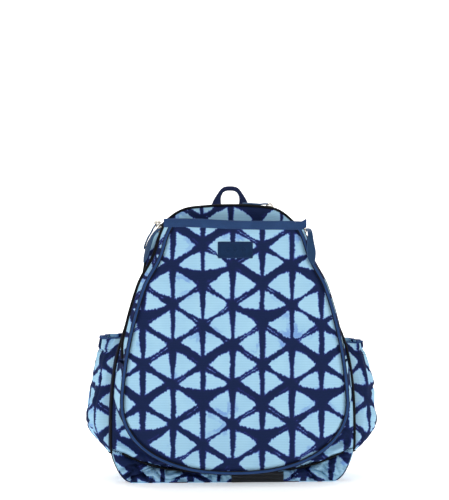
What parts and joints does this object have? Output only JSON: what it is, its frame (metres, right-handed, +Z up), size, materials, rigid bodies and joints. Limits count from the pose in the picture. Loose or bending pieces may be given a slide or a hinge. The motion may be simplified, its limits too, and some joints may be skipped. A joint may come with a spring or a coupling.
{
  "type": "racket backpack",
  "caption": "Soft backpack with a zipped racket sleeve on its front, gathered side pockets, a padded back with shoulder straps and a webbing carry handle.",
  "frame": {"origin": "on the floor under the middle of the bag", "axes": "+Z up, the racket sleeve faces -Y, the shoulder straps are on the +Y side, +X to the right seen from the front"},
  "size_m": [0.456, 0.2239, 0.4618],
  "materials": {
    "printed_fabric": "tie-dye print, light blue and navy, fine crosswise rib",
    "navy_binding": "woven binding tape",
    "navy_leather": "smooth coated leather",
    "navy_webbing": "ribbed webbing",
    "zip_tape": "woven zip tape",
    "zip_metal": "plated zinc, satin",
    "black_mesh": "ribbed padded mesh",
    "black_plastic": "moulded, satin",
    "stiff_board": "plain board"
  },
  "bodies": {
    "root": {"base_panel": "printed_fabric", "base_front": "printed_fabric", "base_board": "stiff_board", "base_rib_patch": "black_mesh", "side_panel_left": "printed_fabric", "side_panel_right": "printed_fabric", "roof_panel": "printed_fabric", "back_panel": "black_mesh", "back_pad_upper": "black_mesh", "back_pad_lower": "black_mesh", "main_zip_tape_rear": "zip_tape", "pocket_left": "printed_fabric", "pocket_right": "printed_fabric", "pocket_hem_left": "printed_fabric", "pocket_hem_right": "printed_fabric", "handle_anchor": "navy_webbing", "strap_yoke": "navy_binding", "strap_wing_left": "printed_fabric", "strap_wing_right": "printed_fabric", "strap_webbing_left": "navy_webbing", "strap_webbing_right": "navy_webbing"},
    "front_door": {"front_wall": "printed_fabric", "main_zip_tape_front": "zip_tape", "racket_panel_lower": "printed_fabric", "panel_binding_lower": "navy_binding", "sleeve_gusset_lower": "printed_fabric", "door_gusset_left": "printed_fabric", "door_gusset_right": "printed_fabric", "door_zip_tape_left": "zip_tape", "door_zip_tape_right": "zip_tape"},
    "racket_flap": {"racket_panel_upper": "printed_fabric", "panel_binding_left": "navy_binding", "panel_binding_right": "navy_binding", "top_band": "navy_binding", "label_patch": "navy_leather", "flap_gusset_left": "printed_fabric", "flap_gusset_right": "printed_fabric", "flap_zip_tape_left": "zip_tape", "flap_zip_tape_right": "zip_tape"},
    "front_slider_right": {"front_slider_right": "zip_metal"},
    "front_slider_left": {"front_slider_left": "zip_metal"},
    "front_pull_right": {"front_pull_right": "navy_leather"},
    "front_pull_left": {"front_pull_left": "navy_leather"},
    "main_slider_left": {"main_slider_left": "zip_metal"},
    "main_slider_top": {"main_slider_top": "zip_metal"},
    "main_pull_left": {"main_pull_left": "navy_leather"},
    "main_pull_top": {"main_pull_top": "navy_leather"},
    "carry_handle": {"carry_handle": "navy_webbing"},
    "shoulder_strap_left": {"shoulder_strap_left": "navy_binding", "ladder_lock_left": "black_plastic"},
    "shoulder_strap_right": {"shoulder_strap_right": "navy_binding", "ladder_lock_right": "black_plastic"}
  },
  "joints": [
    {"name": "front_door_hinge", "type": "hinge", "parent": "root", "child": "front_door", "pos_m": [0, -0.063, 0.05], "axis": [1, 0, 0], "range_deg": [0, 30]},
    {"name": "racket_flap_hinge", "type": "hinge", "parent": "front_door", "child": "racket_flap", "pos_m": [0, -0.109, 0.188], "axis": [1, 0, 0], "range_deg": [0, 40]},
    {"name": "front_slider_right_travel", "type": "hinge", "parent": "racket_flap", "child": "front_slider_right", "pos_m": [-0.4603, -0.0817, 0.0945], "axis": [0, 1, 0], "range_deg": [0, 13.6]},
    {"name": "front_slider_left_travel", "type": "hinge", "parent": "racket_flap", "child": "front_slider_left", "pos_m": [0.4603, -0.0817, 0.0945], "axis": [0, -1, 0], "range_deg": [0, 13.6]},
    {"name": "front_pull_right_swing", "type": "hinge", "parent": "front_slider_right", "child": "front_pull_right", "pos_m": [0.11179, -0.0837, 0.38912], "axis": [0, -1, 0], "range_deg": [-30, 60]},
    {"name": "front_pull_left_swing", "type": "hinge", "parent": "front_slider_left", "child": "front_pull_left", "pos_m": [-0.11179, -0.0817, 0.38912], "axis": [0, 1, 0], "range_deg": [0, 60]},
    {"name": "main_slider_left_travel", "type": "hinge", "parent": "root", "child": "main_slider_left", "pos_m": [-0.06, -0.0519, 0.3475], "axis": [0, 1, 0], "range_deg": [0, 38]},
    {"name": "main_pull_left_swing", "type": "hinge", "parent": "main_slider_left", "child": "main_pull_left", "pos_m": [-0.11915, -0.0519, 0.40076], "axis": [0, 1, 0], "range_deg": [0, 60]},
    {"name": "main_slider_top_travel", "type": "hinge", "parent": "root", "child": "main_slider_top", "pos_m": [0, -0.0519, -0.12571], "axis": [0, -1, 0], "range_deg": [0, 8.5]},
    {"name": "main_pull_top_swing", "type": "hinge", "parent": "main_slider_top", "child": "main_pull_top", "pos_m": [0.06061, -0.0519, 0.42758], "axis": [0, 1, 0], "range_deg": [0, 90]},
    {"name": "carry_handle_swing", "type": "hinge", "parent": "root", "child": "carry_handle", "pos_m": [0, 0.08, 0.4028], "axis": [1, 0, 0], "range_deg": [-60, 60]},
    {"name": "shoulder_strap_left_swing", "type": "hinge", "parent": "root", "child": "shoulder_strap_left", "pos_m": [0, 0.0975, 0.388], "axis": [1, 0, 0], "range_deg": [0, 30]},
    {"name": "shoulder_strap_right_swing", "type": "hinge", "parent": "root", "child": "shoulder_strap_right", "pos_m": [0, 0.0975, 0.388], "axis": [1, 0, 0], "range_deg": [0, 30]}
  ],
  "couplings": [
    {"joint": "front_slider_right_travel", "follows": "racket_flap_hinge", "ratio": 0.34},
    {"joint": "front_slider_left_travel", "follows": "racket_flap_hinge", "ratio": 0.34}
  ]
}
